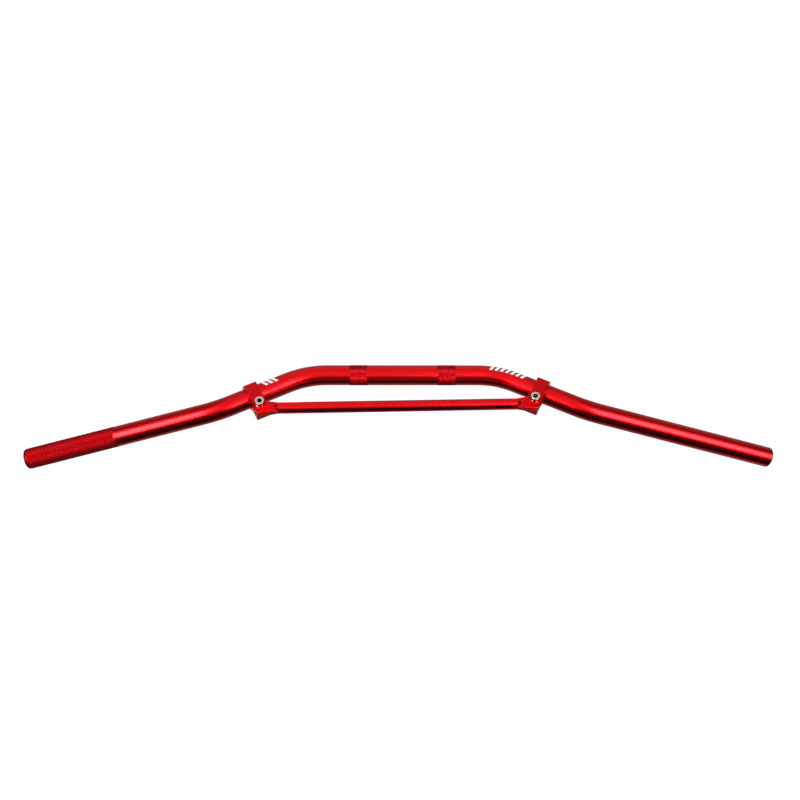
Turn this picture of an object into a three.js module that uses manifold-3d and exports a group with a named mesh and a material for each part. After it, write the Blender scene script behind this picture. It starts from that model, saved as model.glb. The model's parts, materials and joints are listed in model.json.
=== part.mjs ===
// Off-road motorcycle handlebar: one bent aluminium tube, a crossbar bolted between its two
// risers, two one-piece crossbar clamps and the two cap screws that close them.
// Millimetres. +X is the rider's right, +Y is forward and +Z is up, with the bar in its stem
// clamps and its risers upright. The origin is on the tube's axis, at the middle of the stem clamps.
import * as THREE from 'three';
import { mergeVertices } from 'three/addons/utils/BufferGeometryUtils.js';
import Module from 'manifold-3d';

// ---------- driving dimensions ----------
const TUBE_DIAMETER = 22.2;            // the 7/8 inch bar standard
const TUBE_WALL = 4.1;
const FIRST_BEND_X = 106;              // corner between the centre stretch and a riser
const RISER_ANGLE = 26.1;              // degrees above the horizontal
const RISER_LENGTH = 106.5;            // corner to corner
const GRIP_LENGTH = 215.2;             // outer corner to the open end
const GRIP_SWEEP = 11.3;               // degrees back, towards the rider
const GRIP_RISE = 9.6;                 // degrees up
const FIRST_BEND_RADIUS = 96;
const SECOND_BEND_RADIUS = 92;
const END_ROUND = 2.6;                 // rounded outer edge of each open end

const KNURL_RAISE = 0.25;              // how far pressed knurling stands above the plain tube
const CENTRE_KNURL_X = 48.9;           // middle of each knurled band in the stem clamps
const CENTRE_KNURL_WIDTH = 20.8;
const GRIP_KNURL_LENGTH = 102;         // from the rider's left end inwards

const CLAMP_WIDTH = 14.3;              // along the riser
const CLAMP_OUTER_RADIUS = 14.2;
const CLAMP_FRONT = 14.9;              // flat front face, ahead of the tube's axis
const CLAMP_BACK = -6.5;               // back face of the rear ear
const CLAMP_EAR_END = 26.3;            // ear tip, from the tube's axis
const CLAMP_BROW = 7.7;                // lower corner of the front face, below the tube's axis
const CLAMP_BROW_ROUND = 1.4;
const CLAMP_CHAMFER = 0.6;
const LEFT_CLAMP_AT = 64;              // along the riser from its lower corner
const RIGHT_CLAMP_AT = 50.6;
const SCREW_OFFSET = 19.2;             // screw axis, from the tube's axis

const SCREW_DIAMETER = 6;
const SCREW_LENGTH = 20;               // under the head
const SCREW_HEAD_DIAMETER = 9.8;
const SCREW_HEAD_HEIGHT = 6;
const HEX_ACROSS_FLATS = 5;
const HEX_DEPTH = 3;
const POCKET_DIAMETER = 11.8;          // spot face for the screw head
const POCKET_DEPTH = 2.3;

const CROSSBAR_DIAMETER = 12.4;
const CROSSBAR_FORWARD = 6.6;          // crossbar axis, ahead of the tube's axis
const CROSSBAR_LIFT = 2.4;             // crossbar axis, above the screw holes in its tabs
const TAB_THICKNESS = 6;
const TAB_WIDTH = 15;
const TAB_LENGTH = 10;                 // from the screw hole to where the tab narrows
const TAB_NECK = 9;                    // length over which the tab meets the round bar
const RAMP_LENGTH = 4.6;               // the bar's cone down into the tab

const FIT_GAP = 0.3;                   // clearance between neighbouring pieces
const CUT_PAST = 1;                    // how far a cutter runs past a face
const TUBE_SIDES = 32;
const ROUND_SIDES = 32;
const HOLE_SIDES = 24;
const BEND_STEPS = 7;
const ROUND_STEPS = 4;

// ---------- finishes ----------
const ANODISED_RED = { color: 0xc40f18, roughness: 0.34, metalness: 0.9 };
const ZINC_PLATED_STEEL = { color: 0xc9cacb, roughness: 0.28, metalness: 1 };

// ---------- derived ----------
const TUBE_RADIUS = TUBE_DIAMETER / 2;
const BORE_RADIUS = TUBE_RADIUS - TUBE_WALL;
const KNURL_RADIUS = TUBE_RADIUS + KNURL_RAISE;
const CLAMP_BORE_RADIUS = TUBE_RADIUS + FIT_GAP;
const HOLE_RADIUS = SCREW_DIAMETER / 2 + FIT_GAP;
const SLOT_HALF = TAB_THICKNESS / 2 + FIT_GAP;
const SEAT_FORWARD = CLAMP_FRONT - POCKET_DEPTH;
const riserTilt = THREE.MathUtils.degToRad(RISER_ANGLE);
const sweep = THREE.MathUtils.degToRad(GRIP_SWEEP);
const rise = THREE.MathUtils.degToRad(GRIP_RISE);

const wasm = await Module();
wasm.setup();

// A closed three.js geometry as a solid that can be joined and cut.
function solid(geometry) {
  const bare = geometry.index ? geometry.toNonIndexed() : geometry;
  bare.deleteAttribute('normal');
  bare.deleteAttribute('uv');
  const merged = mergeVertices(bare, 1e-4);
  return new wasm.Manifold(new wasm.Mesh({
    numProp: 3,
    vertProperties: new Float32Array(merged.attributes.position.array),
    triVerts: new Uint32Array(merged.index.array),
  }));
}

// A solid back as a named mesh.
function piece(name, body, finish) {
  const mesh = body.getMesh();
  const geometry = new THREE.BufferGeometry();
  geometry.setAttribute('position', new THREE.BufferAttribute(new Float32Array(mesh.vertProperties), 3));
  geometry.setIndex(new THREE.BufferAttribute(new Uint32Array(mesh.triVerts), 1));
  const result = new THREE.Mesh(geometry.toNonIndexed(), new THREE.MeshStandardMaterial(finish));
  result.geometry.computeVertexNormals();
  result.name = name;
  return result;
}

// A cylinder from a to b.
function rod(radius, a, b, sides = ROUND_SIDES) {
  const along = new THREE.Vector3().subVectors(b, a);
  const geometry = new THREE.CylinderGeometry(radius, radius, along.length(), sides);
  const turn = new THREE.Quaternion().setFromUnitVectors(new THREE.Vector3(0, 1, 0), along.clone().normalize());
  geometry.applyQuaternion(turn);
  geometry.translate((a.x + b.x) / 2, (a.y + b.y) / 2, (a.z + b.z) / 2);
  return solid(geometry);
}

// A turned solid: profile points are (radius, distance along direction from base).
function turned(profile, base, direction, sides = TUBE_SIDES) {
  const geometry = new THREE.LatheGeometry(profile.map(([r, h]) => new THREE.Vector2(r, h)), sides);
  geometry.applyQuaternion(new THREE.Quaternion().setFromUnitVectors(new THREE.Vector3(0, 1, 0), direction));
  geometry.translate(base.x, base.y, base.z);
  return solid(geometry);
}

// ---------- centreline of the bent tube ----------
// side is +1 for the rider's right and -1 for the left; directions point away from the middle.
function riserDirection(side) {
  return new THREE.Vector3(side * Math.cos(riserTilt), 0, Math.sin(riserTilt));
}

function gripDirection(side) {
  const outward = side * Math.cos(rise) * Math.cos(sweep);
  const backward = -Math.cos(rise) * Math.sin(sweep);
  return new THREE.Vector3(outward, backward, Math.sin(rise));
}

function firstCorner(side) {
  return new THREE.Vector3(side * FIRST_BEND_X, 0, 0);
}

function secondCorner(side) {
  return firstCorner(side).addScaledVector(riserDirection(side), RISER_LENGTH);
}

function openEnd(side) {
  return secondCorner(side).addScaledVector(gripDirection(side), GRIP_LENGTH);
}

// Stations round one bend: where the rings of the sweep stand, and which way they face.
function bendStations(corner, before, after, radius) {
  const angle = before.angleTo(after);
  const towardCentre = after.clone().addScaledVector(before, -after.dot(before)).normalize();
  const start = corner.clone().addScaledVector(before, -radius * Math.tan(angle / 2));
  const stations = [];
  for (let step = 0; step <= BEND_STEPS; step += 1) {
    const turn = (angle * step) / BEND_STEPS;
    const point = start.clone()
      .addScaledVector(before, radius * Math.sin(turn))
      .addScaledVector(towardCentre, radius * (1 - Math.cos(turn)));
    const tangent = before.clone().multiplyScalar(Math.cos(turn)).addScaledVector(towardCentre, Math.sin(turn));
    stations.push({ point, tangent });
  }
  return stations;
}

function halfStations(side, past) {
  const outward = new THREE.Vector3(side, 0, 0);
  const end = openEnd(side).addScaledVector(gripDirection(side), past);
  return [
    ...bendStations(firstCorner(side), outward, riserDirection(side), FIRST_BEND_RADIUS),
    ...bendStations(secondCorner(side), riserDirection(side), gripDirection(side), SECOND_BEND_RADIUS),
    { point: end, tangent: gripDirection(side) },
  ];
}

// The whole centreline, from the left end to the right one, run past both ends by the given length.
class BarCentreline extends THREE.Curve {
  constructor(past) {
    super();
    const left = halfStations(-1, past).reverse();
    left.forEach((station) => station.tangent.negate());
    this.stations = [...left, ...halfStations(1, past)];
  }

  station(t) {
    return this.stations[Math.round(t * (this.stations.length - 1))];
  }

  getPoint(t, target = new THREE.Vector3()) {
    return target.copy(this.station(t).point);
  }

  getTangent(t, target = new THREE.Vector3()) {
    return target.copy(this.station(t).tangent);
  }

  // Rings stand on the stations, not at equal distances.
  getUtoTmapping(u) {
    return u;
  }
}

function sweptBar(radius, past) {
  const path = new BarCentreline(past);
  const section = new THREE.Shape();
  section.absarc(0, 0, radius, 0, 2 * Math.PI, false);
  const geometry = new THREE.ExtrudeGeometry(section, {
    extrudePath: path,
    steps: path.stations.length - 1,
    curveSegments: TUBE_SIDES / 2,
  });
  return solid(geometry);
}

// A ring of knurled, slightly raised tube from one point to another on a straight stretch.
function knurledBand(start, direction, length) {
  const core = TUBE_RADIUS - KNURL_RAISE * 2;
  const profile = [[core, 0], [KNURL_RADIUS, 0], [KNURL_RADIUS, length], [core, length], [core, 0]];
  return turned(profile, start, direction);
}

// Cuts the sharp outer edge of an open end to a rounded one.
function endRounder(side, radius) {
  const profile = [];
  for (let step = 0; step <= ROUND_STEPS; step += 1) {
    const angle = (Math.PI / 2) * (step / ROUND_STEPS);
    const along = END_ROUND * Math.sin(angle);
    profile.push([radius - END_ROUND + END_ROUND * Math.cos(angle), -END_ROUND + along]);
  }
  profile.push([radius - END_ROUND, CUT_PAST]);
  profile.push([radius + CUT_PAST, CUT_PAST]);
  profile.push([radius + CUT_PAST, -END_ROUND]);
  profile.push(profile[0]);
  return turned(profile.reverse(), openEnd(side), gripDirection(side));
}

function mainTube() {
  const leftwards = gripDirection(-1);
  const knurlStart = openEnd(-1).addScaledVector(leftwards, -GRIP_KNURL_LENGTH);
  let tube = sweptBar(TUBE_RADIUS, 0).add(knurledBand(knurlStart, leftwards, GRIP_KNURL_LENGTH));
  for (const side of [-1, 1]) {
    const start = new THREE.Vector3(side * CENTRE_KNURL_X - CENTRE_KNURL_WIDTH / 2, 0, 0);
    tube = tube.add(knurledBand(start, new THREE.Vector3(1, 0, 0), CENTRE_KNURL_WIDTH));
  }
  return tube
    .subtract(sweptBar(BORE_RADIUS, CUT_PAST))
    .subtract(endRounder(-1, KNURL_RADIUS))
    .subtract(endRounder(1, TUBE_RADIUS));
}

// ---------- crossbar clamps ----------
// Local frame of a clamp: x along the riser, y forward, z towards the ear tips.
function clampPlace(side, along) {
  const x = riserDirection(side).multiplyScalar(side);
  const z = new THREE.Vector3(-side * Math.sin(riserTilt), 0, Math.cos(riserTilt));
  const y = new THREE.Vector3(0, 1, 0);
  const origin = firstCorner(side).addScaledVector(riserDirection(side), along);
  return new THREE.Matrix4().makeBasis(x, y, z).setPosition(origin);
}

function placed(body, matrix) {
  return body.transform(matrix.elements);
}

// Side outline in (y, z): a flat front, a round back that hugs the tube, and both ears as one block.
function clampOutline() {
  const corner = new THREE.Vector2(CLAMP_FRONT, -CLAMP_BROW);
  const reach = Math.acos(CLAMP_OUTER_RADIUS / corner.length());
  const tangentAngle = Math.atan2(corner.y, corner.x) - reach;
  const tangentPoint = new THREE.Vector2(Math.cos(tangentAngle), Math.sin(tangentAngle));
  tangentPoint.multiplyScalar(CLAMP_OUTER_RADIUS);
  const brow = tangentPoint.clone().sub(corner).setLength(CLAMP_BROW_ROUND).add(corner);
  const backAngle = -Math.PI - Math.acos(-CLAMP_BACK / CLAMP_OUTER_RADIUS);
  const outline = new THREE.Shape();
  outline.moveTo(CLAMP_FRONT, CLAMP_EAR_END);
  outline.lineTo(CLAMP_FRONT, -CLAMP_BROW + CLAMP_BROW_ROUND);
  outline.quadraticCurveTo(corner.x, corner.y, brow.x, brow.y);
  outline.lineTo(tangentPoint.x, tangentPoint.y);
  outline.absarc(0, 0, CLAMP_OUTER_RADIUS, tangentAngle, backAngle, true);
  outline.lineTo(CLAMP_BACK, CLAMP_EAR_END);
  outline.closePath();
  return outline;
}

function clampBody() {
  const geometry = new THREE.ExtrudeGeometry(clampOutline(), {
    depth: CLAMP_WIDTH - 2 * CLAMP_CHAMFER,
    curveSegments: ROUND_SIDES / 2,
    bevelEnabled: true,
    bevelThickness: CLAMP_CHAMFER,
    bevelSize: CLAMP_CHAMFER,
    bevelOffset: -CLAMP_CHAMFER,
    bevelSegments: 1,
  });
  geometry.translate(0, 0, CLAMP_CHAMFER - CLAMP_WIDTH / 2);
  const outlineToClamp = new THREE.Matrix4().makeBasis(
    new THREE.Vector3(0, 1, 0), new THREE.Vector3(0, 0, 1), new THREE.Vector3(1, 0, 0),
  );
  geometry.applyMatrix4(outlineToClamp);
  return solid(geometry);
}

// The slot between the ears runs from the bore out through their tips.
function clampSlot() {
  const height = CLAMP_EAR_END + CUT_PAST;
  const geometry = new THREE.BoxGeometry(CLAMP_WIDTH + 2 * CUT_PAST, 2 * SLOT_HALF, height);
  geometry.translate(0, CROSSBAR_FORWARD, height / 2);
  return solid(geometry);
}

function clamp() {
  const halfWidth = CLAMP_WIDTH / 2 + CUT_PAST;
  const bore = rod(CLAMP_BORE_RADIUS, new THREE.Vector3(-halfWidth, 0, 0), new THREE.Vector3(halfWidth, 0, 0));
  const at = (y) => new THREE.Vector3(0, y, SCREW_OFFSET);
  const hole = rod(HOLE_RADIUS, at(CLAMP_BACK - CUT_PAST), at(CLAMP_FRONT + CUT_PAST), HOLE_SIDES);
  const pocket = rod(POCKET_DIAMETER / 2, at(SEAT_FORWARD), at(CLAMP_FRONT + CUT_PAST), HOLE_SIDES);
  return clampBody().subtract(bore).subtract(clampSlot()).subtract(hole).subtract(pocket);
}

// ---------- clamp screw ----------
// Local frame of its clamp: the head stands in the pocket and the shank points backwards.
function screw() {
  const underHead = SEAT_FORWARD + FIT_GAP;
  const at = (y) => new THREE.Vector3(0, y, SCREW_OFFSET);
  const top = underHead + SCREW_HEAD_HEIGHT;
  const head = rod(SCREW_HEAD_DIAMETER / 2, at(underHead), at(top), HOLE_SIDES);
  const shank = rod(SCREW_DIAMETER / 2, at(underHead - SCREW_LENGTH), at(underHead + FIT_GAP), HOLE_SIDES);
  const socket = rod(HEX_ACROSS_FLATS / Math.sqrt(3), at(top - HEX_DEPTH), at(top + CUT_PAST), 6);
  return head.add(shank).subtract(socket);
}

// ---------- crossbar ----------
// The crossbar's axis where it passes a clamp screw.
function crossbarEnd(side, along) {
  const screw = new THREE.Vector3(0, CROSSBAR_FORWARD, SCREW_OFFSET).applyMatrix4(clampPlace(side, along));
  return screw.add(new THREE.Vector3(0, 0, CROSSBAR_LIFT));
}

// One flattened end. Local frame: x from the screw hole towards the bar's middle, z across the tab.
function tabOutline() {
  const half = TAB_WIDTH / 2;
  const neck = CROSSBAR_DIAMETER / 2 - FIT_GAP;
  const outline = new THREE.Shape();
  outline.moveTo(0, -half);
  outline.lineTo(TAB_LENGTH, -half);
  outline.lineTo(TAB_LENGTH + TAB_NECK, -neck);
  outline.lineTo(TAB_LENGTH + TAB_NECK, neck);
  outline.lineTo(TAB_LENGTH, half);
  outline.lineTo(0, half);
  outline.absarc(0, 0, half, 0.5 * Math.PI, 1.5 * Math.PI, false);
  const hole = new THREE.Path();
  hole.absarc(0, -CROSSBAR_LIFT, HOLE_RADIUS, 0, 2 * Math.PI, true);
  outline.holes.push(hole);
  return outline;
}

function crossbarTab() {
  const geometry = new THREE.ExtrudeGeometry(tabOutline(), {
    depth: TAB_THICKNESS,
    curveSegments: HOLE_SIDES / 4,
    bevelEnabled: false,
  });
  geometry.translate(0, 0, -TAB_THICKNESS / 2);
  geometry.rotateX(Math.PI / 2);
  return solid(geometry);
}

function crossbar() {
  const left = crossbarEnd(-1, LEFT_CLAMP_AT);
  const right = crossbarEnd(1, RIGHT_CLAMP_AT);
  const span = left.distanceTo(right);
  const radius = CROSSBAR_DIAMETER / 2;
  const rampStart = TAB_LENGTH + TAB_NECK - RAMP_LENGTH;
  const profile = [
    [0, rampStart],
    [TAB_THICKNESS / 2, rampStart],
    [radius, rampStart + RAMP_LENGTH],
    [radius, span - rampStart - RAMP_LENGTH],
    [TAB_THICKNESS / 2, span - rampStart],
    [0, span - rampStart],
  ];
  const along = new THREE.Vector3(1, 0, 0);
  let bar = turned(profile, new THREE.Vector3(), along, ROUND_SIDES);
  const mirrored = new THREE.Matrix4().makeRotationZ(Math.PI).setPosition(span, 0, 0);
  bar = bar.add(crossbarTab()).add(placed(crossbarTab(), mirrored));
  const x = new THREE.Vector3().subVectors(right, left).normalize();
  const y = new THREE.Vector3(0, 1, 0);
  const z = new THREE.Vector3().crossVectors(x, y);
  return placed(bar, new THREE.Matrix4().makeBasis(x, y, z).setPosition(left));
}

// ---------- assembly ----------
const handlebar = new THREE.Group();
handlebar.add(piece('main_tube', mainTube(), ANODISED_RED));
handlebar.add(piece('crossbar', crossbar(), ANODISED_RED));
for (const [name, side, along] of [['left', -1, LEFT_CLAMP_AT], ['right', 1, RIGHT_CLAMP_AT]]) {
  const place = clampPlace(side, along);
  handlebar.add(piece(`${name}_crossbar_clamp`, placed(clamp(), place), ANODISED_RED));
  handlebar.add(piece(`${name}_clamp_screw`, placed(screw(), place), ZINC_PLATED_STEEL));
}

export default handlebar;
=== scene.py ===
import json
import math

import bmesh
import bpy
from mathutils import Matrix, Quaternion, Vector

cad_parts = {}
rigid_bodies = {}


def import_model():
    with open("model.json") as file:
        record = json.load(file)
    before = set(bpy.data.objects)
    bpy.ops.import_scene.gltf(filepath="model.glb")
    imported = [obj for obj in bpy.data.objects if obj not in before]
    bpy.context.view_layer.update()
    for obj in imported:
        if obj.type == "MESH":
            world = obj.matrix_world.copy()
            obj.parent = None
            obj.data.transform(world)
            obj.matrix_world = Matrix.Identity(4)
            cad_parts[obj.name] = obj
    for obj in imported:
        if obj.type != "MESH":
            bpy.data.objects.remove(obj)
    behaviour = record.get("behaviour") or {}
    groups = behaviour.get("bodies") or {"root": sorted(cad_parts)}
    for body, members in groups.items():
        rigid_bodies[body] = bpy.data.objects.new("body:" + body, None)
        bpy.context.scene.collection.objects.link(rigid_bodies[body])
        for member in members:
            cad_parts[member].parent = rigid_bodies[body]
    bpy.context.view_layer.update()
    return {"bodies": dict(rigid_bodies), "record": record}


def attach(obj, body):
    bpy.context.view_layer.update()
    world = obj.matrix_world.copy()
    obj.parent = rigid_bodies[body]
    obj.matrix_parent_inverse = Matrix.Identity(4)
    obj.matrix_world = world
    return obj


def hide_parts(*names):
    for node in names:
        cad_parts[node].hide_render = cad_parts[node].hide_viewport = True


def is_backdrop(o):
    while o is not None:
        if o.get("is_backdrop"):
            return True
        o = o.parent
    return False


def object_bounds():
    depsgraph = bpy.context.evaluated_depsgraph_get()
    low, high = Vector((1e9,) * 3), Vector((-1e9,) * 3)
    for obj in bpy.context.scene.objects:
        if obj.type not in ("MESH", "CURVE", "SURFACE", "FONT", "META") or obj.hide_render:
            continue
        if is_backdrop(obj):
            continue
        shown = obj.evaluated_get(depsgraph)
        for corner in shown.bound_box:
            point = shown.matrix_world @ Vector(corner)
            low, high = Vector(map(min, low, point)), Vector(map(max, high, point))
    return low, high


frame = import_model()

scene = bpy.context.scene

# ---- The view ----
# The bar is seen from in front of and above its centre stretch, by a camera held upside down, so that
# the crossbar hangs below the main tube. Lengths in this file are metres, angles degrees.
CAMERA_AIM = Vector((-0.0027, -0.0151, 0.0230))
CAMERA_DISTANCE = 1.2241
CAMERA_TURN = -2.615          # round the vertical, from straight in front
CAMERA_ELEVATION = 32.973
CAMERA_ROLL = 178.564
CAMERA_LENS = 49.5            # on a 36 mm wide sensor
CLIP_FAR = 40.0

turn = math.radians(CAMERA_TURN)
elevation = math.radians(CAMERA_ELEVATION)
camera_back = Vector((math.sin(turn) * math.cos(elevation), math.cos(turn) * math.cos(elevation),
                      math.sin(elevation)))
camera_turned = (-camera_back).to_track_quat("-Z", "Y") @ Quaternion((0, 0, 1), math.radians(CAMERA_ROLL))
camera_right = camera_turned @ Vector((1, 0, 0))
camera_up = camera_turned @ Vector((0, 1, 0))

camera = bpy.data.objects.new("camera", bpy.data.cameras.new("camera"))
camera.data.lens = CAMERA_LENS
camera.data.clip_end = CLIP_FAR
camera.location = CAMERA_AIM + camera_back * CAMERA_DISTANCE
camera.rotation_mode = "QUATERNION"
camera.rotation_quaternion = camera_turned
scene.collection.objects.link(camera)
scene.camera = camera

# ---- Main tube ----
# One aluminium tube of 22.2 mm, drawn, bent four times on a mandrel and anodised red. Its left end and two
# bands in the middle are knurled by pressed rollers, so that the grip and the stem clamps can't slip.
TUBE_RADIUS = 0.0111
BORE_RADIUS = 0.0070
FIRST_BEND_X = 0.106
RISER_ANGLE = 26.1
RISER_LENGTH = 0.1065
GRIP_LENGTH = 0.2152
FIRST_BEND_RADIUS = 0.096
SECOND_BEND_RADIUS = 0.092
END_ROUND = 0.0026
BORE_CHAMFER = 0.0006
ROUND_STEPS = 8
BEND_STEPS = 20
CENTRE_KNURL_X = 0.0489
CENTRE_KNURL_WIDTH = 0.0208
GRIP_KNURL_LENGTH = 0.102
KNURL_DIAMONDS_ROUND = 22     # one every 3.2 mm of girth; real ones are near 1.2 mm, drawn coarser to show
KNURL_SUNK = 0.0002           # groove floors, below the plain tube
KNURL_HEIGHT = 0.00047        # from a groove's floor to a diamond's point
KNURL_FADE = 0.0012           # plain tube runs down to the groove floors over this length
TUBE_SIDES = 2 * KNURL_DIAMONDS_ROUND
KNURL_ROW = math.pi * TUBE_RADIUS / KNURL_DIAMONDS_ROUND       # half a diamond, along the tube
# What a ring of the tube's skin carries: plain tube, knurling with its diamonds' points on the ring's odd or
# even corners, or knurling that runs out without points.
PLAIN, ODD_POINTS, EVEN_POINTS, RUN_OUT = 0, 1, 2, -1

riser_tilt = math.radians(RISER_ANGLE)
mounts = {mount["name"]: mount for mount in frame["record"]["mounts"]}


def riser_direction(side):
    return Vector((side * math.cos(riser_tilt), 0, math.sin(riser_tilt)))


def grip_direction(side):
    return Vector(mounts["right_end_face" if side > 0 else "left_end_face"]["axis"])


def first_corner(side):
    return Vector((side * FIRST_BEND_X, 0, 0))


def second_corner(side):
    return first_corner(side) + riser_direction(side) * RISER_LENGTH


def open_end(side):
    return second_corner(side) + grip_direction(side) * GRIP_LENGTH


def bend(corner, before, after, radius, steps):
    """Points and directions round one bend of the centreline."""
    angle = before.angle(after)
    inwards = (after - before * after.dot(before)).normalized()
    start = corner - before * radius * math.tan(angle / 2)
    stations = []
    for step in range(steps + 1):
        turned = angle * step / steps
        point = start + before * radius * math.sin(turned) + inwards * radius * (1 - math.cos(turned))
        stations.append((point, before * math.cos(turned) + inwards * math.sin(turned)))
    return stations


def half_bends(side, steps):
    """Both bends of one side, going outwards from the middle."""
    outwards = Vector((side, 0, 0))
    first = bend(first_corner(side), outwards, riser_direction(side), FIRST_BEND_RADIUS, steps)
    second = bend(second_corner(side), riser_direction(side), grip_direction(side), SECOND_BEND_RADIUS,
                  steps)
    return first + second


def left_to_right(steps):
    """The left bends and the right bends, each going and pointing towards the rider's right."""
    left = [(point, -direction) for point, direction in reversed(half_bends(-1, steps))]
    return left, half_bends(1, steps)


def knurled_rings(start, direction, length):
    """Rings at every half row of diamonds, with a short fade from the plain tube at each end."""
    rows = 2 * round(length / KNURL_ROW / 2)
    step = (length - 2 * KNURL_FADE) / rows
    rings = [(start, direction, TUBE_RADIUS, PLAIN)]
    for row in range(rows + 1):
        point = start + direction * (KNURL_FADE + row * step)
        rings.append((point, direction, TUBE_RADIUS - KNURL_SUNK, EVEN_POINTS if row % 2 else ODD_POINTS))
    rings.append((start + direction * length, direction, TUBE_RADIUS, PLAIN))
    return rings


def rounded_end(side, outwards, mark):
    """Rings round one open end's outer edge and face, from the outside of the tube in to its bore."""
    end = open_end(side)
    rings = []
    for step in range(ROUND_STEPS + 1):
        angle = math.pi / 2 * step / ROUND_STEPS
        radius = TUBE_RADIUS - END_ROUND * (1 - math.cos(angle))
        rings.append((end - outwards * END_ROUND * (1 - math.sin(angle)), outwards, radius, mark))
    rings.append((end, outwards, BORE_RADIUS + BORE_CHAMFER, PLAIN))
    rings.append((end - outwards * BORE_CHAMFER, outwards, BORE_RADIUS, PLAIN))
    return rings


def tube_rings():
    """Every ring of the tube's skin: out along its outside to the right, and back along its bore."""
    leftmost, rightmost = grip_direction(-1), grip_direction(1)
    across = Vector((1, 0, 0))
    left, right = left_to_right(BEND_STEPS)
    # The rounded left end is marked knurled without points, so it is painted all over in the grooves' painted
    # shade.
    knurled_end = rounded_end(-1, leftmost, RUN_OUT)
    knurl_start = open_end(-1) - leftmost * END_ROUND
    rings = [(point, -direction, radius, mark) for point, direction, radius, mark in reversed(knurled_end)]
    rings += knurled_rings(knurl_start, -leftmost, GRIP_KNURL_LENGTH - END_ROUND)[1:]
    rings += [(point, direction, TUBE_RADIUS, PLAIN) for point, direction in left]
    for side in (-1, 1):
        start = Vector((side * CENTRE_KNURL_X - CENTRE_KNURL_WIDTH / 2, 0, 0))
        rings += knurled_rings(start, across, CENTRE_KNURL_WIDTH)
    rings += [(point, direction, TUBE_RADIUS, PLAIN) for point, direction in right]
    rings += rounded_end(1, rightmost, PLAIN)
    rings += [(point, direction, BORE_RADIUS, PLAIN) for point, direction in reversed(left + right)]
    return rings


def ring_loft(name, rings, sides):
    """Joins rings of corners into one closed skin. Each corner keeps how far round and along it lies, whether
    it is knurled and whether a diamond's point stands on it."""
    mesh = bpy.data.meshes.new(name)
    loft = bmesh.new()
    diamond = loft.verts.layers.float.new("diamond")
    knurled = loft.verts.layers.float.new("knurled")
    uv = loft.loops.layers.uv.new("round_and_along")
    upright = Vector((0, 0, 1))
    along = 0.0
    rows = []
    places = []
    marks = [mark for _, _, _, mark in rings]
    for index, (point, direction, radius, mark) in enumerate(rings):
        upright = (upright - direction * upright.dot(direction)).normalized()
        sideways = direction.cross(upright)
        if index:
            along += (point - rings[index - 1][0]).length
        row = []
        for corner in range(sides):
            angle = 2 * math.pi * corner / sides
            out = upright * math.cos(angle) + sideways * math.sin(angle)
            vert = loft.verts.new(point + out * radius)
            vert[diamond] = float(mark == (ODD_POINTS if corner % 2 else EVEN_POINTS))
            vert[knurled] = float(mark != PLAIN)
            row.append(vert)
        rows.append(row)
        places.append(along)
    around = 2 * math.pi * TUBE_RADIUS / sides
    for index, row in enumerate(rows):
        after = (index + 1) % len(rows)
        pointed = {marks[index], marks[after]} <= {ODD_POINTS, EVEN_POINTS}
        for corner in range(sides):
            beside = (corner + 1) % sides
            face = loft.faces.new((row[corner], row[beside], rows[after][beside], rows[after][corner]))
            face.smooth = not pointed
            u = (corner * around, (corner + 1) * around)
            v = (places[index], places[after] if after else along)
            for loop, place in zip(face.loops, ((u[0], v[0]), (u[1], v[0]), (u[1], v[1]), (u[0], v[1]))):
                loop[uv].uv = place
    bmesh.ops.recalc_face_normals(loft, faces=loft.faces)
    loft.to_mesh(mesh)
    loft.free()
    return mesh


def linear(colour):
    """A hex sRGB colour as linear red, green, blue and 1."""
    parts = [int(colour[place:place + 2], 16) / 255 for place in (0, 2, 4)]
    return tuple(p / 12.92 if p <= 0.04045 else ((p + 0.055) / 1.055) ** 2.4 for p in parts) + (1.0,)


def add_node(tree, kind, inputs=(), **settings):
    """Adds a node to a tree. Each input gets a value, or a link from a socket or a node's first output."""
    node = tree.nodes.new(kind)
    for name, value in settings.items():
        setattr(node, name, value)
    for key, value in dict(inputs).items():
        if isinstance(value, bpy.types.Node):
            tree.links.new(value.outputs[0], node.inputs[key])
        elif isinstance(value, bpy.types.NodeSocket):
            tree.links.new(value, node.inputs[key])
        else:
            node.inputs[key].default_value = value
    return node


def new_material(name):
    """A material with an empty node tree."""
    material = bpy.data.materials.new(name)
    material.use_nodes = True
    material.node_tree.nodes.clear()
    return material, material.node_tree


# Dyed, sealed anodising on drawn aluminium: a red metal under a thin clear oxide layer. The clear layer
# gives the pale pink glare in the lamps, and the drawing die leaves faint lines along the tube. The knurled
# stretches carry painted shade: the diamonds' points are painted a little darker than the tube, and the
# grooves between them much darker.
TUBE_RED = "DC0E14"
TUBE_RED_DEEP = "C80A10"
TUBE_ROUGHNESS = (0.23, 0.31)
# Painted shade: the knurled stretch's colours, darker than the tube, stand for the knurl's self-shadowing.
KNURL_POINT_SHADE = "C40A10"
KNURL_GROOVE_SHADE = "4C040A"
KNURL_ROUGHNESS = 0.52
KNURL_COAT = 0.015            # pressing breaks up the clear layer's glare
DRAW_LINE_SPACING = 0.0006    # real ones are near 0.1 mm; drawn coarser so that they show
DRAW_LINE_LENGTH = 0.06
DRAW_LINE_DEPTH = 0.000006
DRAW_LINE_DETAIL = 3
CLOUD_SIZE = 0.03             # slow drift of the dye's depth over the bar
NOISE_DETAIL = 2
COAT_WEIGHT = 0.12
COAT_ROUGHNESS = 0.22


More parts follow.
